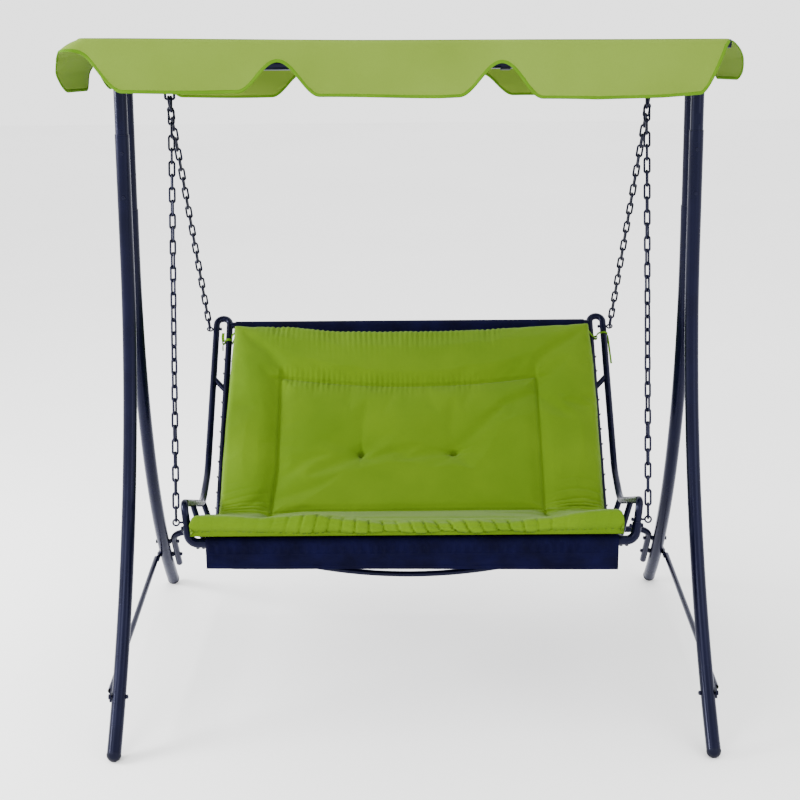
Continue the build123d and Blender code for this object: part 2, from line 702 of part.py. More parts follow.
def rail_z(y):
    return FOLD[1] + (y - FOLD[0]) * (RAIL_FRONT[1] - FOLD[1]) / (RAIL_FRONT[0] - FOLD[0])


def arm_z(y):
    return ARM_BEND[2] + (y - ARM_BEND[1]) * (ARM_FRONT[2] - ARM_BEND[2]) / (ARM_FRONT[1] - ARM_BEND[1])


with BuildPart() as tube:
    start, end = on_strand(-RAIL_X, -TOP_RAIL_BACK, 0), on_strand(RAIL_X, -TOP_RAIL_BACK, 0)
    rod(start, end, TUBE_R)
    rod(start, end, TOP_RAIL_BORE, mode=Mode.SUBTRACT)
    for side in (-1, 1):
        carve(arm_path(side), TUBE_R)
with BuildPart() as top_rail:
    add(biggest(tube))
save(top_rail, "back_top_rail")

z = rail_z(STRETCHER_Y) - TUBE_R
with BuildPart() as tube:
    with BuildLine() as line:
        left, right = (-RAIL_X, STRETCHER_Y, z), (RAIL_X, STRETCHER_Y, z)
        ThreePointArc(left, (0, STRETCHER_Y, z - STRETCHER_SAG), right)
    pipe(line.wire(), STRUT_R, STRUT_BORE)
    for side in (-1, 1):
        carve(rail_path(side), TUBE_R)
with BuildPart() as stretcher:
    add(biggest(tube))
save(stretcher, "seat_stretcher")

for name, side in SIDES:
    arm, rail = arm_path(side), rail_path(side)
    ax, rx, sx = side * ARM_X, side * RAIL_X, side * STRUT_X
    low_z = ARM_TOP[1] + (BACK_LINK_Y - ARM_TOP[0]) * STRAND_SLOPE
    high_z = low_z + BACK_LINK_RISE * STRAND_SLOPE
    for place, low, high in (
        ("arm_strut", (sx, ARM_STRUT_Y, rail_z(ARM_STRUT_Y)), (ax, ARM_STRUT_Y, arm_z(ARM_STRUT_Y))),
        ("fold_strut", (sx, *FOLD_STRUT_LOW), (ax, *FOLD_STRUT_HIGH)),
        ("back_link", (rx, BACK_LINK_Y, low_z), (ax, BACK_LINK_Y + BACK_LINK_RISE, high_z)),
    ):
        with BuildPart() as tube:
            rod(low, high, STRUT_R)
            carve(arm, TUBE_R)
            carve(rail, TUBE_R)
        with BuildPart() as strut:
            add(biggest(tube))
        save(strut, f"{name}_{place}")

with BuildPart() as frame_bolts:
    for side in (-1, 1):
        spot = post_point(side, POST_BOLT_SHARE)
        reach = FRONT_R + 0.9
        outer, inner = spot + Vector(side * reach, 0, 0), spot - Vector(side * reach, 0, 0)
        bolt(outer, inner, BOLT_R, *BOLT_HEAD, *BOLT_NUT)
        y, z = RAIL_FRONT
        for x in LUG_SCREWS:
            # The outer screw sits where the rail has started to bend upwards.
            lift = max(0.0, x - POST_BASE[0] + BEND_RUN) ** 2 / (2 * FRONT_BEND)
            face = z - FRONT_R + lift - 2 * SEAT_GAP
            bolt((side * x, y, face), (side * x, y, face + SCREW_REACH), SCREW_R, *SCREW_HEAD)
save(frame_bolts, "seat_frame_bolts")

# ---------------------------------------------------------------- sling, lacing and skirt
rail = rail_path(1)
lace_spots = []
count = int(rail.length / LACE_PITCH)
for i in range(1, count):
    place = i * LACE_PITCH / rail.length
    point, along = rail @ place, rail % place
    busy = (
        abs(point.Y - STRETCHER_Y) < 20,
        abs(point.Y - ARM_STRUT_Y) < 20,
        abs(point.Y - FOLD_STRUT_LOW[0]) < 22,
        abs(point.Y - BACK_LINK_Y) < 16,
        point.Y < RAIL_FRONT[0] + 30,
    )
    if not any(busy):
        lace_spots.append((point, Vector(0, along.Z, -along.Y)))

drop = -SLING_DROP
with BuildPart() as sling:
    with BuildSketch(Plane.YZ) as section:
        with BuildLine() as line:
            start = Vector(0, *RAIL_FRONT) + SEAT_FACE * drop
            corner, end = fold_corner(drop), on_strand(0, -TOP_RAIL_BACK, drop)
            FilletPolyline((start.Y, start.Z), (corner.Y, corner.Z), (end.Y, end.Z), radius=FOLD_R)
        trace(line_width=SLING_T)
    extrude(amount=SLING_X, both=True)
    y, z = RAIL_FRONT
    head = on_strand(0, -TOP_RAIL_BACK, 0)
    rod((-SLING_X, y, z), (SLING_X, y, z), HEM_R)
    rod((-SLING_X, head.Y, head.Z), (SLING_X, head.Y, head.Z), TOP_HEM_R)
    rod((-SLING_X, y, z), (SLING_X, y, z), FRONT_R + 0.4, mode=Mode.SUBTRACT)
    rod((-SLING_X, head.Y, head.Z), (SLING_X, head.Y, head.Z), TUBE_R + 0.4, mode=Mode.SUBTRACT)
    for side in (-1, 1):
        for point, face in lace_spots:
            spot = Vector(side * (RAIL_X - LACE_REACH), point.Y, point.Z)
            rod(spot + face * 12, spot - face * 12, LACE_R + 0.4, mode=Mode.SUBTRACT)
save(sling, "seat_sling")

for name, side in SIDES:
    with BuildPart() as lacing:
        for point, face in lace_spots:
            centre = Vector(side * RAIL_X, point.Y, point.Z)
            plane = Plane(origin=centre, x_dir=(side, 0, 0), z_dir=Vector(side, 0, 0).cross(face))
            ring_r = TUBE_R + LACE_R + 0.3
            with BuildLine(plane) as line:
                FilletPolyline((-LACE_REACH, 0.5), (-LACE_REACH, -ring_r), (0, -ring_r), radius=4)
                ThreePointArc(
                    (0, -ring_r),
                    (ring_r * cos(radians(-35)), ring_r * sin(radians(-35))),
                    (ring_r * cos(radians(20)), ring_r * sin(radians(20))),
                )
            pipe(line.wire(), LACE_R)
    save(lacing, f"{name}_lacing")

with BuildPart() as skirt:
    y, z = RAIL_FRONT
    r = HEM_R + 1.2
    with BuildSketch(Plane.YZ) as section:
        with BuildLine() as line:
            ThreePointArc((y + 3, z + sqrt(r * r - 9)), (y - r * cos(0.7), z + r * sin(0.7)), (y - r, z))
            Line((y - r, z), (y - r, SKIRT_BOTTOM))
        trace(line_width=1.6)
    extrude(amount=SKIRT_X, both=True)
save(skirt, "front_skirt")

# ---------------------------------------------------------------- cushion and its ties
middle = CUSHION_LIFT + CUSHION_T / 2
with BuildPart() as cushion:
    with BuildSketch(Plane.YZ) as section:
        with BuildLine() as line:
            start = Vector(0, *RAIL_FRONT) + SEAT_RUN * CUSHION_FRONT + SEAT_FACE * middle
            corner, end = fold_corner(middle), on_strand(0, -CUSHION_TOP, middle)
            FilletPolyline((start.Y, start.Z), (corner.Y, corner.Z), (end.Y, end.Z), radius=FOLD_R - middle)
        trace(line_width=CUSHION_T)
    extrude(amount=CUSHION_X, both=True)
    fillet(cushion.edges().filter_by(Axis.X).filter_by(lambda e: not -200 < e.center().Y < 60), CUSHION_ROUND)
    fillet(cushion.faces().filter_by(Axis.X).edges(), CUSHION_ROUND - 2)
    y, z = RAIL_FRONT
    rod((-CUSHION_X, y, z), (CUSHION_X, y, z), HEM_R + HEM_CLEAR, mode=Mode.SUBTRACT)
save(cushion, "seat_cushion")

with BuildPart() as ties:
    for side in (-1, 1):
        a = on_strand(side * ARM_X, -TIE_BACK - TIE_WIDTH / 2, 0)
        b = on_strand(side * ARM_X, -TIE_BACK + TIE_WIDTH / 2, 0)
        rod(a, b, TUBE_R + TIE_T)
        near = on_strand(side * (ARM_X - 8), -TIE_BACK, 8)
        far = on_strand(side * (CUSHION_X + 2), -TIE_BACK, 20)
        run = far - near
        with Locations(Location(Plane(origin=(near + far) * 0.5, x_dir=run, z_dir=run.cross(UP_STRAND)))):
            Box(run.length, TIE_WIDTH, TIE_T)
        rod(a, b, TUBE_R + 0.3, mode=Mode.SUBTRACT)
save(ties, "cushion_ties")

# ---------------------------------------------------------------- canopy knobs and caps
for name, side in SIDES:
    x = side * RAFTER_X
    with BuildPart() as knob:
        rod((x, LEG_R + 0.6, BEAM_Z), (x, SADDLE_R + KNOB_H, BEAM_Z), BOLT_R)
        with BuildSketch(Plane(origin=(x, SADDLE_R + KNOB_GAP, BEAM_Z), z_dir=(0, 1, 0))):
            Circle(KNOB_R)
            with PolarLocations(KNOB_R + KNOB_FLUTE / 2, KNOB_FLUTES):
                Circle(KNOB_FLUTE, mode=Mode.SUBTRACT)
        extrude(amount=KNOB_H)
    save(knob, f"{name}_tilt_knob")

with BuildPart() as caps:
    for side in (-1, 1):
        for fore in (-1, 1):
            end = canopy_point(side * CANOPY_HALF_X, fore * CANOPY_HALF_Y, CANOPY_RISE)
            out = Vector(side, 0, 0)
            rod(end + out * SEAT_GAP, end + out * CAP_FLANGE, CANOPY_R)
            rod(end + out * SEAT_GAP, end - out * CAP_PLUG, CANOPY_BORE - FIT)
save(caps, "canopy_tube_caps")
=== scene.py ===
import json
import math

import bmesh
import bpy
import numpy as np
from mathutils import Matrix, Vector, noise


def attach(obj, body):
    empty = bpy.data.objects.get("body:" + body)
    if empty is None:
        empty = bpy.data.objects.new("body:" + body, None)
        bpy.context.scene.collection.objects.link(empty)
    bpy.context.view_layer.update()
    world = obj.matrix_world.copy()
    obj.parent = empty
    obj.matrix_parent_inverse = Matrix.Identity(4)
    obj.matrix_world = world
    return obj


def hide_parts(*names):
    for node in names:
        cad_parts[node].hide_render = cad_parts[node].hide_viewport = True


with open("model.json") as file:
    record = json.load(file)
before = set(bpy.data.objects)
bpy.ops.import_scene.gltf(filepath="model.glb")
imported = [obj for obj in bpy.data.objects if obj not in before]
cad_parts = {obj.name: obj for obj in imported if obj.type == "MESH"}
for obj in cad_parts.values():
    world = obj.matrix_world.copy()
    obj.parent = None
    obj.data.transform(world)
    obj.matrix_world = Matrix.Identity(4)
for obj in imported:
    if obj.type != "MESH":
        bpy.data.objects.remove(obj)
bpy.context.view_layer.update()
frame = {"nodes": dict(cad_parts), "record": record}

# ---------------------------------------------------------------- dimensions, in metres
BEAM_Z = 1.737
TILT = math.radians(5.5)
COVER_TOP = 0.0475          # the cover above the beam's axis
HALF_X, HALF_Y = 0.764, 0.5146
COVER_THICK = 0.0012
COVER_SHIFT = -0.012        # the cover sits a little to the left on its frame
# Points of the seat's profile, as (Y, Z).
RAIL_FRONT = np.array((-0.440, 0.557))
FOLD = np.array((-0.053, 0.4276))         # where the seat's and the back's planes meet
TOP = np.array((0.464, 0.9063))


def unit(v):
    v = np.asarray(v, float)
    return v / max(np.linalg.norm(v), 1e-12)


SEAT_RUN = unit(FOLD - RAIL_FRONT)
BACK_RUN = unit(TOP - FOLD)


def smooth(x, a, b):
    t = np.clip((np.asarray(x, float) - a) / (b - a), 0, 1)
    return t * t * (3 - 2 * t)


def wobble(x, y, z=0.0, scale=1.0, seed=0.0):
    """Smooth noise over arrays of points, from about -1 to 1."""
    x, y, z = np.broadcast_arrays(np.asarray(x, float), np.asarray(y, float), np.asarray(z, float))
    flat = [noise.noise(Vector((a * scale + seed, b * scale, c * scale)))
            for a, b, c in zip(x.ravel(), y.ravel(), z.ravel())]
    return np.array(flat).reshape(x.shape)


# ---------------------------------------------------------------- materials
def material(name):
    m = bpy.data.materials.new(name)
    m.use_nodes = True
    tree = m.node_tree
    return m, tree, tree.nodes["Principled BSDF"]


def node(tree, kind, **values):
    n = tree.nodes.new(kind)
    for key, value in values.items():
        if key in n.inputs:
            n.inputs[key].default_value = value
        else:
            setattr(n, key, value)
    return n


def object_coords(tree):
    return node(tree, "ShaderNodeTexCoord").outputs["Object"]


def ramp(tree, source, stops):
    r = node(tree, "ShaderNodeValToRGB")
    r.color_ramp.elements[0].position, r.color_ramp.elements[0].color = stops[0][0], (*stops[0][1], 1)
    r.color_ramp.elements[1].position, r.color_ramp.elements[1].color = stops[-1][0], (*stops[-1][1], 1)
    for position, colour in stops[1:-1]:
        e = r.color_ramp.elements.new(position)
        e.color = (*colour, 1)
    tree.links.new(source, r.inputs["Fac"])
    return r.outputs["Color"]


def paint(name, dark, light, rough=(0.22, 0.34), coat=0.6, metallic=0.15):
    m, t, b = material(name)
    where = object_coords(t)
    large = node(t, "ShaderNodeTexNoise", Scale=9.0, Detail=4.0)
    small = node(t, "ShaderNodeTexNoise", Scale=420.0, Detail=2.0)
    t.links.new(where, large.inputs["Vector"])
    t.links.new(where, small.inputs["Vector"])
    t.links.new(ramp(t, large.outputs["Fac"], [(0.3, dark), (0.7, light)]), b.inputs["Base Color"])
    roughness = node(t, "ShaderNodeMapRange",
                     **{"From Min": 0.3, "From Max": 0.7, "To Min": rough[0], "To Max": rough[1]})
    t.links.new(large.outputs["Fac"], roughness.inputs["Value"])
    t.links.new(roughness.outputs["Result"], b.inputs["Roughness"])
    bump = node(t, "ShaderNodeBump", Strength=0.06, Distance=0.0004)
    t.links.new(small.outputs["Fac"], bump.inputs["Height"])
    t.links.new(bump.outputs["Normal"], b.inputs["Normal"])
    b.inputs["Metallic"].default_value = metallic
    b.inputs["Coat Weight"].default_value = coat
    b.inputs["Coat Roughness"].default_value = 0.12
    b.inputs["Specular IOR Level"].default_value = 0.16
    b.inputs["Specular Tint"].default_value = (0.55, 0.60, 1.0, 1)
    return m


def cloth(name, dark, light, weave=900.0, patch=5.0, strength=0.25, sheen=0.25, rough=0.85, through=0.0):
    m, t, b = material(name)
    where = object_coords(t)
    tone = node(t, "ShaderNodeTexNoise", Scale=patch, Detail=5.0)
    t.links.new(where, tone.inputs["Vector"])
    colour = ramp(t, tone.outputs["Fac"], [(0.32, dark), (0.68, light)])
    waves = []
    for axis in ("X", "DIAGONAL"):
        w = node(t, "ShaderNodeTexWave", Scale=weave, Distortion=0.6, Detail=1.0)
        w.bands_direction = axis
        t.links.new(where, w.inputs["Vector"])
        waves.append(w)
    grain = node(t, "ShaderNodeMath", operation="MULTIPLY")
    t.links.new(waves[0].outputs["Fac"], grain.inputs[0])
    t.links.new(waves[1].outputs["Fac"], grain.inputs[1])
    fibre = node(t, "ShaderNodeTexNoise", Scale=weave * 0.5, Detail=3.0)
    t.links.new(where, fibre.inputs["Vector"])
    mix = node(t, "ShaderNodeMix", data_type="RGBA", blend_type="MULTIPLY")
    mix.inputs["Factor"].default_value = 0.14
    t.links.new(colour, mix.inputs["A"])
    speckle = ramp(t, fibre.outputs["Fac"], [(0.35, (0.45, 0.45, 0.45)), (0.65, (1, 1, 1))])
    t.links.new(speckle, mix.inputs["B"])
    t.links.new(mix.outputs["Result"], b.inputs["Base Color"])
    height = node(t, "ShaderNodeMath", operation="ADD")
    t.links.new(grain.outputs["Value"], height.inputs[0])
    t.links.new(fibre.outputs["Fac"], height.inputs[1])
    bump = node(t, "ShaderNodeBump", Strength=strength, Distance=0.0005)
    t.links.new(height.outputs["Value"], bump.inputs["Height"])
    t.links.new(bump.outputs["Normal"], b.inputs["Normal"])
    b.inputs["Roughness"].default_value = rough
    b.inputs["Sheen Weight"].default_value = sheen
    b.inputs["Specular IOR Level"].default_value = 0.06
    if through:
        glow = node(t, "ShaderNodeBsdfTranslucent")
        t.links.new(colour, glow.inputs["Color"])
        blend = node(t, "ShaderNodeMixShader", Fac=through)
        t.links.new(b.outputs["BSDF"], blend.inputs[1])
        t.links.new(glow.outputs["BSDF"], blend.inputs[2])
        t.links.new(blend.outputs["Shader"], t.nodes["Material Output"].inputs["Surface"])
    return m


NAVY = paint("navy_paint_mat", (0.0006, 0.0006, 0.0060), (0.0012, 0.0012, 0.010), coat=0.04)
DARK = paint("dark_hardware_mat", (0.001, 0.001, 0.007), (0.002, 0.002, 0.012),
             rough=(0.3, 0.45), coat=0.1, metallic=0.1)
PLASTIC = paint("black_plastic_mat", (0.0015, 0.0015, 0.005), (0.003, 0.003, 0.008),
                rough=(0.4, 0.55), coat=0.0, metallic=0.0)
CANOPY = cloth("canopy_cloth_mat", (0.166, 0.262, 0.029), (0.200, 0.306, 0.040),
               patch=3.0, sheen=0.05, through=0.34)
BINDING = cloth("binding_mat", (0.060, 0.145, 0.004), (0.076, 0.168, 0.006),
                weave=1400.0, patch=14.0, strength=0.4, sheen=0.0)
CUSHION = cloth("cushion_cloth_mat", (0.068, 0.134, 0.0022), (0.082, 0.153, 0.0032),
                patch=6.0, sheen=0.05)
SLING = cloth("sling_cloth_mat", (0.0006, 0.0006, 0.0090), (0.0016, 0.0016, 0.019),
              weave=700.0, patch=16.0, strength=0.5, sheen=0.0)
RIBBON = cloth("ribbon_mat", (0.055, 0.125, 0.004), (0.07, 0.15, 0.006),
               weave=1600.0, patch=20.0, sheen=0.0)

LOOKS = {"navy_paint": NAVY, "dark_hardware": DARK, "dark_wire": DARK, "black_plastic": PLASTIC,
         "canopy_cloth": CANOPY, "cushion_cloth": CUSHION, "sling_cloth": SLING, "tie_ribbon": RIBBON}
slots = {s["node"]: s["material_slot"] for s in frame["record"]["subparts"]}
for name, obj in frame["nodes"].items():
    obj.data.materials.clear()
    obj.data.materials.append(LOOKS[slots[name]])


# ---------------------------------------------------------------- mesh helpers
def mesh_object(name, verts, faces, mat, smooth_faces=True):
    mesh = bpy.data.meshes.new(name)
    mesh.from_pydata([tuple(map(float, v)) for v in verts], [], faces)
    mesh.validate()
    mesh.materials.append(mat)
    if smooth_faces:
        mesh.polygons.foreach_set("use_smooth", [True] * len(mesh.polygons))
    obj = bpy.data.objects.new(name, mesh)
    bpy.context.scene.collection.objects.link(obj)
    return obj


def apply_modifiers(obj):
    bpy.context.view_layer.update()
    done = obj.evaluated_get(bpy.context.evaluated_depsgraph_get())
    mesh = bpy.data.meshes.new_from_object(done)
    obj.modifiers.clear()
    obj.data = mesh
    return obj


def thicken(obj, thickness):
    modifier = obj.modifiers.new("thick", "SOLIDIFY")
    modifier.thickness, modifier.offset = thickness, 0
    return apply_modifiers(obj)


def grid_faces(rows, cols, closed_rows=False, closed_cols=False, offset=0, flip=False):
    faces = []
    for i in range(rows if closed_rows else rows - 1):
        for j in range(cols if closed_cols else cols - 1):
            a = offset + i * cols + j
            b = offset + i * cols + (j + 1) % cols
            c = offset + ((i + 1) % rows) * cols + (j + 1) % cols
            d = offset + ((i + 1) % rows) * cols + j
            faces.append((d, c, b, a) if flip else (a, b, c, d))
    return faces


def strip_along(name, points, normals, inwards, width, thick, mat, closed=True):
    """A flat ribbon with rounded edges that follows points, lying across the normals."""
    ring = []
    for k in range(10):
        angle = 2 * math.pi * k / 10
        ring.append((width * 0.5 * (1 - math.cos(angle)) - 0.0012, thick * 0.5 * math.sin(angle)))
    verts = [p + i * a + n * b for p, n, i in zip(points, normals, inwards) for a, b in ring]
    return mesh_object(name, verts, grid_faces(len(points), len(ring), closed, True), mat)


# ---------------------------------------------------------------- canopy cover
COS, SIN = math.cos(TILT), math.sin(TILT)


def left_rise(x):
    """The cover rides a little high towards its left side."""
    return 0.006 * smooth(-np.asarray(x, float), 0.05, 0.76)


def canopy_world(x, y, z):
    """Points of the tilted canopy frame; z is above the beam's axis."""
    level = 0.0018 - 0.0045 * x + left_rise(x)
    return np.stack([x + COVER_SHIFT, y * COS + z * SIN, BEAM_Z - y * SIN + z * COS + level], -1)


CORNER_R = 0.026
EDGE_R = 0.011
NOTCHES = (-0.295, 0.2265)
NOTCH_RISES = (0.068, 0.065)
NOTCH_HALF = 0.098
SIDE_NOTCH_Y, SIDE_NOTCH_HALF, SIDE_NOTCH_RISE = 0.06, 0.17, 0.070
CORNER_HALF = 0.105
DROP = 0.124                 # a valance's depth before its variations
BINDING_WIDTH, BINDING_THICK = 0.0082, 0.0034


def outline(count):
    """Points and outward normals round the cover's edge, counter-clockwise from above."""
    straight_x, straight_y = HALF_X - CORNER_R, HALF_Y - CORNER_R
    quarter = math.pi / 2 * CORNER_R
    lengths = [2 * straight_x, quarter, 2 * straight_y, quarter] * 2
    total = sum(lengths)
    points, normals = [], []
    for k in range(count):
        s = total * k / count
        part = 0
        while s > lengths[part]:
            s -= lengths[part]
            part += 1
        if part % 2 == 0:
            along = s - lengths[part] / 2
            point, normal = {0: ((along, -HALF_Y), (0, -1)), 2: ((HALF_X, along), (1, 0)),
                             4: ((-along, HALF_Y), (0, 1)), 6: ((-HALF_X, -along), (-1, 0))}[part]
        else:
            start = {1: -math.pi / 2, 3: 0, 5: math.pi / 2, 7: math.pi}[part]
            centre = {1: (straight_x, -straight_y), 3: (straight_x, straight_y),
                      5: (-straight_x, straight_y), 7: (-straight_x, -straight_y)}[part]
            angle = start + s / CORNER_R
            normal = (math.cos(angle), math.sin(angle))
            point = (centre[0] + CORNER_R * normal[0], centre[1] + CORNER_R * normal[1])
        points.append(point)
        normals.append(normal)
    return np.array(points), np.array(normals)


def bell(distance, half):
    t = np.clip(np.abs(distance) / half, 0, 1)
    return 0.5 * (1 + np.cos(math.pi * t))


COUNT = 1100
edge, out = outline(COUNT)
sideness = np.abs(out[:, 0]) ** 2
longer = np.interp(edge[:, 0], [-0.40, -0.22, 0.08, 0.20, 0.30, 0.45, 0.60, 0.70, 0.76],
                   [0, 0.0135, 0.0135, 0.009, 0.019, 0.021, 0.014, 0.006, 0.003]) * np.clip(-out[:, 1], 0, 1)
shorter = 0.023 * np.clip(out[:, 0], 0, 1) * (1 - smooth(edge[:, 1], -0.12, 0.06))
drop = DROP + 0.030 * np.clip(out[:, 1], 0, 1) + longer - shorter + 1.4 * left_rise(edge[:, 0])
drop += 0.0022 * np.sin(edge[:, 0] * 11 + 0.6) * (1 - sideness)
lift = np.zeros(COUNT)
for x0, rise in zip(NOTCHES, NOTCH_RISES):
    lift = np.maximum(lift, bell(edge[:, 0] - x0, NOTCH_HALF) * (np.abs(out[:, 1]) > 0.99) * (rise + longer))
lift = np.maximum(lift, bell(edge[:, 1] - SIDE_NOTCH_Y, SIDE_NOTCH_HALF) * (sideness > 0.98) * SIDE_NOTCH_RISE)
corner_gap = np.hypot(HALF_X - np.abs(edge[:, 0]), HALF_Y - np.abs(edge[:, 1]))
tall = smooth(edge[:, 0], 0.3, 0.6) * (1 - smooth(edge[:, 1], -0.4, 0.0))
corner_half = CORNER_HALF - 0.032 * tall * (1 - sideness) + 0.070 * sideness
lift = np.maximum(lift, bell(corner_gap, corner_half) * (0.094 + 0.018 * tall) * np.minimum(1, drop / DROP))
depth = drop - lift
panel = np.clip(lift / 0.04, 0, 1)

RINGS = 46                   # rows of points over the top
ROWS = 17                    # rows of points down the valances
SAG = 0.0065
top_rows = []
for k in range(1, RINGS + 1):
    share = (k / RINGS) ** 0.85
    inset = EDGE_R * (k == RINGS)
    ring_x = edge[:, 0] * share - out[:, 0] * inset
    ring_y = edge[:, 1] * share - out[:, 1] * inset
    top_rows.append((ring_x, ring_y))
supports = (-0.743, -0.255, 0.255, 0.743)     # X of the tubes under the cloth


def sag(x, y):
    """How far the cloth dips between the tubes under it."""
    dip = np.zeros_like(x)
    for a, b in zip(supports, supports[1:]):
        inside = (x > a) & (x < b)
        dip[inside] += np.sin(math.pi * (x[inside] - a) / (b - a)) ** 2
    across = np.clip(1 - (np.abs(y) / 0.5) ** 4, 0, 1)
    return SAG * dip * across


verts = [canopy_world(np.array(0.0), np.array(0.0), np.array(COVER_TOP - 0.006))]
for x, y in top_rows:
    z = COVER_TOP - sag(x, y) + 0.0012 * wobble(x, y, 0, 7.0, 3.0) * np.clip(1 - (np.abs(y) / 0.5) ** 6, 0, 1)
    verts.extend(canopy_world(x, y, z))

down_rows = []
for r in range(1, ROWS + 1):
    share = r / ROWS
    q = depth * share
    arc = np.minimum(q / EDGE_R, math.pi / 2)
    outward = -EDGE_R * (1 - np.sin(arc))
    below = EDGE_R * (1 - np.cos(arc)) + np.maximum(q - EDGE_R * math.pi / 2, 0)
    hang = np.maximum(q - EDGE_R, 0)
    spread = (0.060 - 0.008 * np.sign(edge[:, 0])) * (1 - np.exp(-hang / 0.032))
    flare = sideness * (spread - 0.20 * np.maximum(hang - 0.075, 0))
    belly = (1 - sideness) * (0.006 * np.sin(np.clip(hang / 0.11, 0, 1) * math.pi) + 0.004 * hang / 0.12)
    ripple = hang / 0.12 * 0.0035 * wobble(edge[:, 0], edge[:, 1], share * 0.3, 6.5, 11.0)
    curl = panel * hang * 0.05
    outward = outward + flare + belly + ripple + curl
    x = edge[:, 0] + out[:, 0] * outward
    y = edge[:, 1] + out[:, 1] * outward
    world = canopy_world(x, y, np.full(COUNT, COVER_TOP))
    shrink = 1 - 0.12 * sideness * (hang < 0.05)
    world[:, 2] -= below * shrink
    down_rows.append(world)
    verts.extend(world)

faces = [(0, 1 + j, 1 + (j + 1) % COUNT) for j in range(COUNT)]
faces += grid_faces(RINGS + ROWS, COUNT, False, True, 1, True)
cover = mesh_object("canopy_sheet", verts, faces, CANOPY)
thicken(cover, COVER_THICK)

hem, before = down_rows[-1], down_rows[-3]
tangent = np.roll(hem, -1, 0) - np.roll(hem, 1, 0)
tangent /= np.linalg.norm(tangent, axis=1)[:, None]
inward = before - hem
inward -= tangent * np.sum(inward * tangent, 1)[:, None]
inward /= np.linalg.norm(inward, axis=1)[:, None]
facing = np.cross(tangent, inward)
binding = strip_along("canopy_binding", hem, facing, inward, BINDING_WIDTH, BINDING_THICK, BINDING)
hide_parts("canopy_cover")
for piece in (cover, binding):
    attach(piece, "canopy")

# ---------------------------------------------------------------- seat path
def seat_path(radius):
    """The seat's profile from the front rail up to the arch, and its length.

    The first result turns distances along it into (Y, Z) points and face normals.
    """
    turn = math.acos(np.clip(np.dot(SEAT_RUN, BACK_RUN), -1, 1))
    cut = radius * math.tan(turn / 2)
    flat_length = np.linalg.norm(FOLD - RAIL_FRONT) - cut
    face = np.array((-SEAT_RUN[1], SEAT_RUN[0]))
    centre = RAIL_FRONT + SEAT_RUN * flat_length + face * radius
    arc = radius * turn
    end = FOLD + BACK_RUN * cut

    def spots(s):
        s = np.asarray(s, float)
        angle = np.clip(s - flat_length, 0, arc) / radius
        c, n = np.cos(angle), np.sin(angle)
        normal = np.stack([face[0] * c - face[1] * n, face[0] * n + face[1] * c], -1)
        flat = RAIL_FRONT + SEAT_RUN * s[..., None]
        bent = centre - normal * radius
        high = end + BACK_RUN * (s - flat_length - arc)[..., None]
        upper = np.where((s < flat_length + arc)[..., None], bent, high)
        point = np.where((s < flat_length)[..., None], flat, upper)
        return point, normal

    return spots, flat_length + arc + np.linalg.norm(TOP - end)


def lifted(spots, x, s, height):
    """World points at x, at distance s along the profile and at a height off it."""
    point, normal = spots(s)
    return np.stack([x, point[..., 0] + normal[..., 0] * height, point[..., 1] + normal[..., 1] * height], -1)


def grid_normals(points):
    across = np.gradient(points, axis=1)
    along = np.gradient(points, axis=0)
    n = np.cross(across, along)
    return n / np.maximum(np.linalg.norm(n, axis=-1), 1e-12)[..., None]


def groove(distance, width):
    return np.exp(-(distance / width) ** 2)


def between(v, a, b, soft=0.012):
    return smooth(v, a - soft, a + soft) * (1 - smooth(v, b - soft, b + soft))


def finer(field):
    """The same field on a grid of twice the density."""
    rows, cols = field.shape[:2]
    r, c = np.linspace(0, rows - 1, 2 * rows - 1), np.linspace(0, cols - 1, 2 * cols - 1)
    i, j = np.minimum(r.astype(int), rows - 2), np.minimum(c.astype(int), cols - 2)
    u, v = (r - i)[:, None, None], (c - j)[None, :, None]
    a, b, d, e = field[i][:, j], field[i][:, j + 1], field[i + 1][:, j], field[i + 1][:, j + 1]
    return a * (1 - u) * (1 - v) + b * (1 - u) * v + d * u * (1 - v) + e * u * v


# ---------------------------------------------------------------- cushion
spots, total = seat_path(0.112)
STEP = 0.0075                # between the points of the simulated grid
HALF = 0.555                 # nominal half width
S_FRONT, S_BACK = -0.048, total - 0.035
FOLD_S = 0.408               # where the seat is sewn to the back
FACE_RUN, EDGE_ROUND = 0.032, 0.016
EXTRA = FACE_RUN + EDGE_ROUND * (math.pi / 2 - 1)
SEAM_TOP, SEAT_LOW = 0.881, 0.075
TUFTS = ((-0.143, 0.621), (0.124, 0.622))
# Creases that leave each tuft: direction in degrees and length.
CREASES = (((88, 0.022), (-95, 0.020), (12, 0.014), (160, 0.010), (-140, 0.008)),
           ((18, 0.022), (-4, 0.018), (172, 0.024), (-165, 0.014), (-120, 0.008)))


def edge_profile(g, low, high):
    """Inset and height at arc length g from the cushion's lower edge."""
    a = np.clip(g / FACE_RUN, 0, 1)
    angle = np.clip((g - FACE_RUN) / EDGE_ROUND, 0, math.pi / 2)
    beyond = np.maximum(g - FACE_RUN - EDGE_ROUND * math.pi / 2, 0)
    inset = EDGE_ROUND * (1 - np.cos(angle)) + beyond + 0.006 * (1 - a) ** 2 - 0.004 * np.sin(math.pi * a)
    return inset, low + (high - EDGE_ROUND - low) * a + EDGE_ROUND * np.sin(angle)


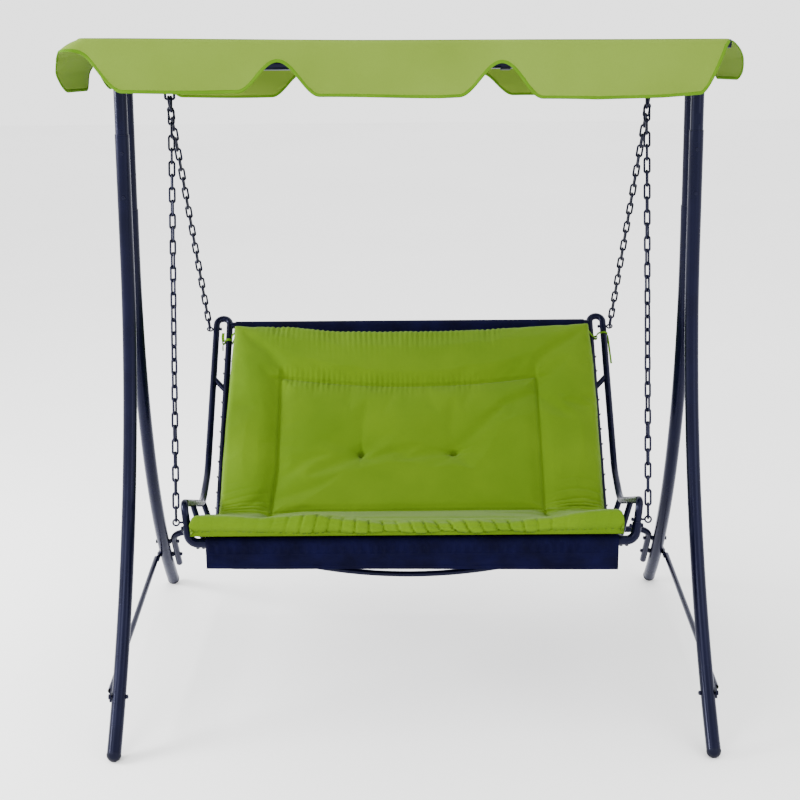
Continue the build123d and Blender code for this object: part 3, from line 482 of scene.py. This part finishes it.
def cushion_grid(rows, cols):
    """Points of the cushion's upper face and edges, with the coordinates that the seams are drawn in."""
    arc_x, arc_s = np.meshgrid(np.linspace(-HALF - EXTRA, HALF + EXTRA, cols),
                               np.linspace(S_FRONT - EXTRA, S_BACK + EXTRA, rows))
    gap_x = HALF + EXTRA - np.abs(arc_x)
    gap_front, gap_back = arc_s - (S_FRONT - EXTRA), S_BACK + EXTRA - arc_s
    near_front = gap_front < gap_back
    gap_s = np.where(near_front, gap_front, gap_back)
    middle = np.clip(arc_s, S_FRONT, S_BACK)
    front = 1 - smooth(middle, -0.02, 0.17)
    lip = (0.056 + 0.019 * smooth(-arc_x, 0.10, 0.25) - 0.005 * groove(arc_x + 0.39, 0.05)
           + 0.028 * smooth(arc_x, 0.26, 0.54))
    high = 0.058 + (lip - 0.058) * front
    low = 0.012 + (0.013 + 0.006 * smooth(np.abs(arc_x), 0.25, 0.5)) * (1 - smooth(middle, 0.0, 0.07))
    inset_x, height_x = edge_profile(gap_x, low, high)
    inset_s, height_s = edge_profile(gap_s, low, high)
    soft = 260.0
    height = -np.log(np.exp(-soft * height_x) + np.exp(-soft * height_s)) / soft
    height = np.where(np.abs(height_x - height_s) < 0.03, height, np.minimum(height_x, height_s))
    nominal = np.sign(arc_x) * (HALF - inset_x)
    s = np.where(near_front, S_FRONT + inset_s, S_BACK - inset_s)
    dip = 0.014 * smooth(nominal, -0.42, -0.2) * (1 - smooth(nominal, 0.05, 0.58))
    s = s - dip * smooth(s, 0.90, 1.05)
    left = np.interp(s, [S_FRONT, 0.06, FOLD_S, 0.70, S_BACK], [0.568, 0.556, 0.547, 0.543, 0.531])
    right = np.interp(s, [S_FRONT, 0.06, FOLD_S, 0.93, S_BACK], [0.541, 0.545, 0.550, 0.5475, 0.541])
    x = nominal * np.where(nominal < 0, left, right) / HALF
    seam_left = -0.384 - 0.014 * (1 - smooth(s, 0.42, 0.60))
    seam_right = 0.374 + 0.004 * np.clip((0.88 - s) / 0.46, 0, 1)
    seam_top = SEAM_TOP - 0.031 * np.clip(1 - (x / 0.38) ** 2, 0, 1)
    inside = smooth(x, seam_left - 0.006, seam_left + 0.002)
    inside *= 1 - smooth(x, seam_right - 0.002, seam_right + 0.006)
    sides = np.minimum(np.abs(x - seam_left), np.abs(x - seam_right))
    lines = [(sides, between(s, FOLD_S, seam_top, 0.004)), (s - seam_top, inside), (s - FOLD_S, inside),
             (sides, between(s, SEAT_LOW, FOLD_S - 0.02, 0.004)), (s - SEAT_LOW, inside)]
    wide = np.max([groove(d, 0.026) * m for d, m in lines], axis=0)
    sharp = np.max([groove(d, 0.0042) * m for d, m in lines], axis=0)
    height = height - 0.0085 * wide
    for x0, s0 in TUFTS:
        height = height - 0.010 * groove(np.hypot(x - x0, s - s0), 0.024)
    return lifted(spots, x, s, height), dict(x=x, s=s, gap_x=gap_x, gap_s=gap_s, front=near_front, sharp=sharp,
                                             seam_top=seam_top, inside=inside, dip=dip, height=height)


rows = int((S_BACK - S_FRONT + 2 * EXTRA) / STEP) | 1
cols = int(2 * (HALF + EXTRA) / STEP) | 1
coarse, info = cushion_grid(rows, cols)
FRAMES = 20                  # length of the simulation
FURTHEST = 0.022             # the most that it may move a point
pushed = np.zeros_like(coarse)
padding = mesh_object("padding", coarse.reshape(-1, 3), grid_faces(rows, cols), CUSHION)
pins = padding.vertex_groups.new(name="pins")
held = info["sharp"] > 0.80
held |= (info["gap_x"] < 0.012) | (info["gap_s"] < 0.012)
for x0, s0 in TUFTS:
    held |= np.hypot(info["x"] - x0, info["s"] - s0) < 0.008
pins.add(np.where(held.ravel())[0].tolist(), 1.0, "REPLACE")
c = padding.modifiers.new("cloth", "CLOTH")
c.settings.quality = 6
c.settings.mass = 0.25
c.settings.tension_stiffness = 16
c.settings.compression_stiffness = 12
c.settings.shear_stiffness = 5
c.settings.bending_stiffness = 3.0
c.settings.use_pressure = True
c.settings.uniform_pressure_force = 2.8
c.settings.shrink_min = -0.008
c.settings.vertex_group_mass = "pins"
c.settings.effector_weights.gravity = 0
c.collision_settings.use_collision = False
c.point_cache.frame_start, c.point_cache.frame_end = 1, FRAMES
for f in range(1, FRAMES + 1):
    bpy.context.scene.frame_set(f)
apply_modifiers(padding)
bpy.context.scene.frame_set(1)
puffed = np.array([v.co for v in padding.data.vertices], float).reshape(rows, cols, 3)
pushed = puffed - coarse
far = np.linalg.norm(pushed, axis=-1)
pushed *= np.where(far > FURTHEST, FURTHEST / np.maximum(far, 1e-9), 1.0)[..., None]
# The seat is pressed flatter than the back.
pushed *= (0.25 + 0.20 * smooth(info["s"], FOLD_S - 0.02, FOLD_S + 0.03))[..., None]
bpy.data.objects.remove(padding)

rows, cols = 2 * rows - 1, 2 * cols - 1
points, info = cushion_grid(rows, cols)
points = points + finer(pushed)
x, s, gap_x, gap_s = info["x"], info["s"], info["gap_x"], info["gap_s"]
# Sewn lines, tufts, gathers and creases, in the puffed surface.
rand = 0.5 + 0.5 * wobble(x, s * 0.4, 0, 14.0, 2.0)
slow = wobble(x * 0.6, s, 0, 8.0, 8.0)
push = -0.0062 * info["sharp"] + 0.0010 * wobble(x, s, 0, 9.0, 21.0)
puckers = np.sin(x * 2 * math.pi / 0.0155 + 2.4 * slow)
gathers = 0.0020 * puckers * rand * groove(s - info["seam_top"], 0.030)
push += gathers * info["inside"] * (1 - smooth(x, 0.05, 0.3))
top_gap = S_BACK - info["dip"] - s
push += 0.0024 * puckers * rand * groove(top_gap, 0.06) * (1 - smooth(np.abs(x + 0.08), 0.30, 0.42))
face = info["front"] * (1 - smooth(gap_s, 0.055, 0.085))
middling = 0.10 + 0.90 * (1 - smooth(np.abs(x - 0.02), 0.26, 0.42))
phase = x * math.pi / 0.036 + 2.1 * wobble(x, 0, 0, 5.0, 8.0) + (gap_s - 0.03) * 26 * np.sin(x * 7 + 0.8)
push -= 0.0098 * groove(np.sin(phase), 0.23) * face * middling * (0.4 + 0.6 * rand)
push += 0.0030 * np.sin(phase * 0.5 + 1.0) * face * middling
stitch = 0.036 + 0.003 * wobble(x, 0, 0, 7.0, 4.0)
push -= 0.0015 * groove(gap_s - stitch, 0.0026) * info["front"]
push -= 0.0016 * groove(gap_x - 0.008, 0.0030) + 0.0014 * groove(gap_s - 0.008, 0.0030) * ~info["front"]
outer = smooth(np.abs(x), 0.385, 0.46)
strength = np.where(x > 0, 1.25, 0.9) * (0.35 + 0.65 * rand)
bend = (s + 0.16 * (np.abs(x) - 0.46) ** 2 / 0.1 + 0.03 * slow) * 2 * math.pi / 0.026
push -= 0.0105 * groove(np.sin(bend * 0.5), 0.28) * outer * strength * groove(s - 0.415, 0.072)
push -= 0.0018 * groove(np.sin(bend * 0.8 + 1.0), 0.3) * (1 - outer) * (1 - info["inside"]) * groove(s - 0.43, 0.05)
for (x0, s0), folds in zip(TUFTS, CREASES):
    away = np.hypot(x - x0, s - s0)
    push -= 0.0085 * groove(away, 0.0065)
    for angle, length in folds:
        c, n = math.cos(math.radians(angle)), math.sin(math.radians(angle))
        along, off = (x - x0) * c + (s - s0) * n, -(x - x0) * n + (s - s0) * c
        push -= 0.0065 * groove(off, 0.0046) * np.exp(-np.clip(along, 0, None) / length) * (along > 0)
for side, corner_x in ((-1, -0.384), (1, 0.374)):
    along = ((x - corner_x) * side + (s - SEAM_TOP)) / math.sqrt(2)
    off = ((x - corner_x) * side - (s - SEAM_TOP)) / math.sqrt(2)
    push -= 0.0014 * groove(off, 0.005) * smooth(along, 0.0, 0.006) * (1 - smooth(along, 0.02, 0.05))
points = points + grid_normals(points) * push[..., None]

SKIP = 4                     # the underside needs fewer points
low_rows, low_cols = (rows - 1) // SKIP + 1, (cols - 1) // SKIP + 1
low_x, low_s, rim = x[::SKIP, ::SKIP], s[::SKIP, ::SKIP], points[::SKIP, ::SKIP]
over_rail = groove(low_s, 0.030)
under = 0.0015 + 0.010 * smooth(np.abs(low_x), 0.47, 0.52) + 0.017 * over_rail
under = np.where(low_s < 0, np.maximum(under, 0.020), under)
underside = lifted(spots, low_x, low_s, under)
for cut in (np.s_[0, :], np.s_[-1, :], np.s_[:, 0], np.s_[:, -1]):
    underside[cut] = rim[cut]


def border(rows, cols):
    ring = [(0, j) for j in range(cols)] + [(i, cols - 1) for i in range(1, rows)]
    return ring + [(rows - 1, j) for j in range(cols - 2, -1, -1)] + [(i, 0) for i in range(rows - 2, 0, -1)]


shift = rows * cols
verts = np.concatenate([points.reshape(-1, 3), underside.reshape(-1, 3)])
faces = grid_faces(rows, cols) + grid_faces(low_rows, low_cols, offset=shift, flip=True)
fine, rough = border(rows, cols), border(low_rows, low_cols)
for k, (i, j) in enumerate(rough):
    a, b = shift + i * low_cols + j, rough[(k + 1) % len(rough)]
    b = shift + b[0] * low_cols + b[1]
    step = [fine[(SKIP * k + m) % len(fine)] for m in range(SKIP + 1)]
    step = [p * cols + q for p, q in step]
    half_way = SKIP // 2
    faces.append((a, b, step[half_way]))
    for m in range(SKIP):
        anchor = a if m < half_way else b
        faces.append((anchor, step[m + 1], step[m]))
cushion = mesh_object("cushion", verts, faces, CUSHION)
bm = bmesh.new()
bm.from_mesh(cushion.data)
bmesh.ops.remove_doubles(bm, verts=bm.verts, dist=1e-6)
bmesh.ops.recalc_face_normals(bm, faces=bm.faces)
bm.to_mesh(cushion.data)
bm.free()
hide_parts("seat_cushion")
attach(cushion, "seat")


# ---------------------------------------------------------------- sling and skirt
def round_rail(centre, run, radius, start, stop, count):
    """Points on a circle round a rail, at angles from the run's direction."""
    face = np.array((-run[1], run[0]))
    angles = np.radians(np.linspace(start, stop, count))
    return [centre + radius * (run * math.cos(a) + face * math.sin(a)) for a in angles]


def spaced(profile, step):
    """The profile resampled at even steps, with the total length."""
    profile = np.array(profile)
    run = np.concatenate([[0], np.cumsum(np.linalg.norm(np.diff(profile, axis=0), axis=1))])
    where = np.linspace(0, run[-1], int(run[-1] / step) + 1)
    return np.stack([np.interp(where, run, profile[:, k]) for k in (0, 1)], -1), where, run[-1]


def hung_sheet(name, profile, half, step, cell, thickness, relief, mat, longer=(0.0, 0.0, 0.0)):
    """A sheet across X that follows a profile in Y and Z, with the profile's length.

    relief gives its wrinkles, and longer how much lower its far edge hangs at the left, middle and right.
    """
    line, where, length = spaced(profile, step)
    xs = np.linspace(-half, half, int(2 * half / cell) | 1)
    tangent = np.gradient(line, axis=0)
    tangent /= np.linalg.norm(tangent, axis=1)[:, None]
    normal = np.stack([-tangent[:, 1], tangent[:, 0]], -1)
    gx, gw = np.meshgrid(xs, where)
    lift = relief(gx, gw, length)
    pts = np.stack([gx, line[:, 0][:, None] + normal[:, 0][:, None] * lift,
                    line[:, 1][:, None] + normal[:, 1][:, None] * lift
                    - np.interp(gx, [-half, 0, half], longer) * smooth(gw, 0.3 * length, length)], -1)
    obj = mesh_object(name, pts.reshape(-1, 3), grid_faces(*gx.shape), mat)
    thicken(obj, thickness)
    return obj, length


SLING_HALF = 0.533           # between the side rails
sling_spots, sling_total = seat_path(0.075)
bed, bed_normal = sling_spots(np.linspace(0.034, sling_total - 0.004 - 0.026, 120))
head = TOP - BACK_RUN * 0.004
profile = round_rail(RAIL_FRONT, SEAT_RUN, 0.0140, -25, -275, 22) + list(bed - bed_normal * 0.0028)
profile += round_rail(head, BACK_RUN, 0.0115, 120, -150, 20)


def sling_relief(x, w, length):
    middle = smooth(w, 0.09, 0.16) * (1 - smooth(w, length - 0.13, length - 0.08))
    edge = smooth(np.abs(x), 0.42, 0.52)
    scallop = edge * 0.0012 * np.sin(w * 2 * math.pi / 0.05)
    return middle * (0.0008 * wobble(x, w, 0, 9.0, 31.0) + scallop)


sling, sling_length = hung_sheet("sling_sheet", profile, SLING_HALF, 0.006, 0.0075, 0.0015,
                                 sling_relief, SLING)
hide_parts("seat_sling")
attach(sling, "seat")

SKIRT_R, SKIRT_END = 0.0160, 0.4915      # round the rail, and the hem's height
SKIRT_HALF = 0.534
profile = [RAIL_FRONT + SKIRT_R * np.array((math.sin(a), math.cos(a)))
           for a in np.radians(np.linspace(12, -90, 16))]
profile += [np.array((RAIL_FRONT[0] - SKIRT_R, z)) for z in np.linspace(0.553, SKIRT_END, 30)]


def skirt_relief(x, w, length):
    up = length - w                              # height above the lower hem
    seams = -0.0016 * (groove(up - 0.041, 0.0018) + groove(up - 0.009, 0.0016))
    puckers = np.sin(x * 2 * math.pi / 0.023 + 2.6 * wobble(x, up, 0, 11.0, 51.0) + 40 * up * np.sin(3 * x))
    folds = 0.0038 * puckers * (0.45 + 0.55 * wobble(x, 0, 0, 7.0, 12.0)) * between(up, 0.044, 0.068, 0.007)
    smears = 0.0036 * wobble(x * 0.6, up * 2.4, 0, 26.0, 71.0) * between(up, 0.012, 0.038, 0.006)
    block = 0.0009 * smooth(np.abs(x), 0.463, 0.466) * (1 - smooth(up, 0.039, 0.041))
    belly = 0.0022 * wobble(x, 0, 0, 4.0, 91.0) * smooth(w, 0.02, length)
    return seams + folds + smears + block + belly


skirt, skirt_length = hung_sheet("skirt_sheet", profile, SKIRT_HALF, 0.0014, 0.0032, 0.0010,
                                 skirt_relief, SLING, longer=(0.0005, 0.0045, 0.0100))
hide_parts("front_skirt")
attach(skirt, "seat")


# ---------------------------------------------------------------- ribbon ties
def ribbon(name, path, width, thick, mat, flat):
    """A flat strap along a smoothed path; flat is the direction that its width lies in."""
    path = np.array(path, float)
    for _ in range(3):
        middle = (path[1:] + path[:-1]) / 2
        inner = [middle[:-1] * 0.5 + path[1:-1] * 0.5, middle[1:] * 0.5 + path[1:-1] * 0.5]
        path = np.concatenate([path[:1], np.stack(inner, 1).reshape(-1, 3), path[-1:]])
    verts = []
    for i, p in enumerate(path):
        t = unit(path[min(i + 1, len(path) - 1)] - path[max(i - 1, 0)])
        w = unit(np.asarray(flat, float) - t * np.dot(flat, t))
        n = np.cross(t, w)
        verts += [p + w * a * width / 2 + n * b * thick / 2 for a, b in ((-1, -1), (1, -1), (1, 1), (-1, 1))]
    faces = grid_faces(len(path), 4, False, True) + [(3, 2, 1, 0), tuple(range(len(verts) - 4, len(verts)))]
    return mesh_object(name, verts, faces, mat, smooth_faces=False)


BACK_UP = np.array((0, *BACK_RUN))
BACK_OUT = np.array((0, -BACK_RUN[1], BACK_RUN[0]))


def by_rail(x, down, out=0.0):
    """A point beside the back's rails: below the arch and out towards the sitter."""
    return np.array((x, *TOP)) - BACK_UP * down + BACK_OUT * out


def loop(x, down, radius, start, stop, count=14):
    angles = np.radians(np.linspace(start, stop, count))
    return [by_rail(x + radius * math.cos(a), down, radius * math.sin(a)) for a in angles]


def knot(name, x, down, out):
    """A small overhand knot: a flattened, tilted turn of ribbon."""
    angles = np.linspace(0, 2 * math.pi * 1.6, 26)
    turn = 0.0045
    path = [by_rail(x + turn * math.cos(a), down + turn * math.sin(a), out + 0.003 * math.sin(a * 0.5))
            for a in angles]
    return ribbon(name, path, 0.0060, 0.0016, RIBBON, BACK_OUT)


ROUND_RAIL = 0.0116
LEFT_KNOT, RIGHT_KNOT = -0.5665, 0.5665       # X of the knots
THIN = 0.0012                # thickness of the ribbon
ties = [
    ribbon("left_tie_strap", [by_rail(-0.530, 0.052, 0.034), by_rail(-0.541, 0.056, 0.022)]
           + loop(-0.551, 0.062, ROUND_RAIL, 40, 215), 0.008, THIN, RIBBON, BACK_UP),
    ribbon("left_tie_back", [by_rail(-0.530, 0.056, 0.020), by_rail(-0.540, 0.062, -0.008)]
           + loop(-0.551, 0.066, ROUND_RAIL, -50, -150), 0.008, THIN, RIBBON, BACK_UP),
    knot("left_tie_knot", LEFT_KNOT, 0.067, 0.001),
    ribbon("left_tie_tail_up", [by_rail(LEFT_KNOT, 0.066, 0.003), by_rail(-0.570, 0.052, 0.006),
                                by_rail(-0.569, 0.034, 0.004)], 0.009, THIN, RIBBON, (1, 0, 0)),
    ribbon("left_tie_tail_down", [by_rail(LEFT_KNOT, 0.068, 0.001), by_rail(-0.5685, 0.080, 0.004),
                                  by_rail(-0.567, 0.096, 0.002)], 0.005, THIN, RIBBON, (0.5, 0, 0.8)),
    ribbon("right_tie_strap", [by_rail(0.538, 0.048, 0.034), by_rail(0.548, 0.052, 0.018)]
           + loop(0.551, 0.058, ROUND_RAIL, 70, -10, 8), 0.008, THIN, RIBBON, BACK_UP),
    ribbon("right_tie_back", [by_rail(0.538, 0.050, 0.020), by_rail(0.540, 0.054, -0.008)]
           + loop(0.551, 0.058, ROUND_RAIL, -130, -20, 8), 0.008, THIN, RIBBON, BACK_UP),
    knot("right_tie_knot", RIGHT_KNOT, 0.058, 0.000),
    ribbon("right_tie_bridge", [by_rail(RIGHT_KNOT, 0.058, 0.001), by_rail(0.571, 0.048, 0.004),
                                by_rail(0.577, 0.045, 0.008)]
           + loop(0.591, 0.045, ROUND_RAIL, 130, -20, 12)
           + [by_rail(0.604, 0.058, -0.003), by_rail(0.6045, 0.082, 0.000),
              by_rail(0.6055, 0.115, 0.002), by_rail(0.607, 0.150, 0.001)],
           0.006, THIN, RIBBON, BACK_UP + np.array((0.25, 0, 0))),
]
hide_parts("cushion_ties")
for piece in ties:
    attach(piece, "seat")

# ---------------------------------------------------------------- light, camera and floor
def floor_plane():
    mesh = bpy.data.meshes.new("floor")
    mesh.from_pydata([(-9, -6, 0), (9, -6, 0), (9, 12, 0), (-9, 12, 0)], [], [(0, 1, 2, 3)])
    obj = bpy.data.objects.new("floor", mesh)
    bpy.context.scene.collection.objects.link(obj)
    m, t, b = material("floor_mat")
    tone = node(t, "ShaderNodeTexNoise", Scale=0.7, Detail=2.0)
    t.links.new(object_coords(t), tone.inputs["Vector"])
    greys = ramp(t, tone.outputs["Fac"], [(0.3, (0.93, 0.93, 0.93)), (0.7, (0.96, 0.96, 0.96))])
    t.links.new(greys, b.inputs["Base Color"])
    b.inputs["Roughness"].default_value = 0.9
    mesh.materials.append(m)
    return obj


floor_plane()
world = bpy.data.worlds.new("studio")
world.use_nodes = True
world.node_tree.nodes["Background"].inputs["Color"].default_value = (1, 1, 1, 1)
world.node_tree.nodes["Background"].inputs["Strength"].default_value = 2.4
bpy.context.scene.world = world


def softbox(name, place, aim, size, watts):
    light = bpy.data.lights.new(name, "AREA")
    light.shape = "RECTANGLE"
    light.size, light.size_y = size
    light.energy = watts
    obj = bpy.data.objects.new(name, light)
    bpy.context.scene.collection.objects.link(obj)
    obj.location = place
    obj.rotation_euler = (Vector(aim) - Vector(place)).to_track_quat("-Z", "Y").to_euler()
    return obj


softbox("key", (-2.6, -3.6, 3.4), (0, 0, 0.9), (2.2, 2.2), 110)
softbox("fill", (3.0, -3.2, 2.2), (0, 0, 0.9), (2.4, 2.4), 60)
softbox("top", (0, 0.6, 4.2), (0, 0, 0.6), (3.0, 2.0), 70)
softbox("far_left", (-3.6, -0.2, 1.9), (-0.7, 0, 1.62), (1.4, 1.0), 230)

pitch, yaw, roll_angle = math.radians(17.335), math.radians(-0.193), math.radians(-0.475)
forward = Vector((math.sin(yaw) * math.cos(pitch), math.cos(yaw) * math.cos(pitch), -math.sin(pitch)))
right = Vector((math.cos(yaw), -math.sin(yaw), 0))
up = right.cross(forward)
right2 = right * math.cos(roll_angle) + up * math.sin(roll_angle)
up2 = up * math.cos(roll_angle) - right * math.sin(roll_angle)
data = bpy.data.cameras.new("camera")
data.lens, data.sensor_width = 71.95, 36
camera = bpy.data.objects.new("camera", data)
bpy.context.scene.collection.objects.link(camera)
camera.matrix_world = Matrix(((right2[0], up2[0], -forward[0], -0.0155), (right2[1], up2[1], -forward[1], -4.2856),
                              (right2[2], up2[2], -forward[2], 2.1420), (0, 0, 0, 1)))
bpy.context.scene.camera = camera
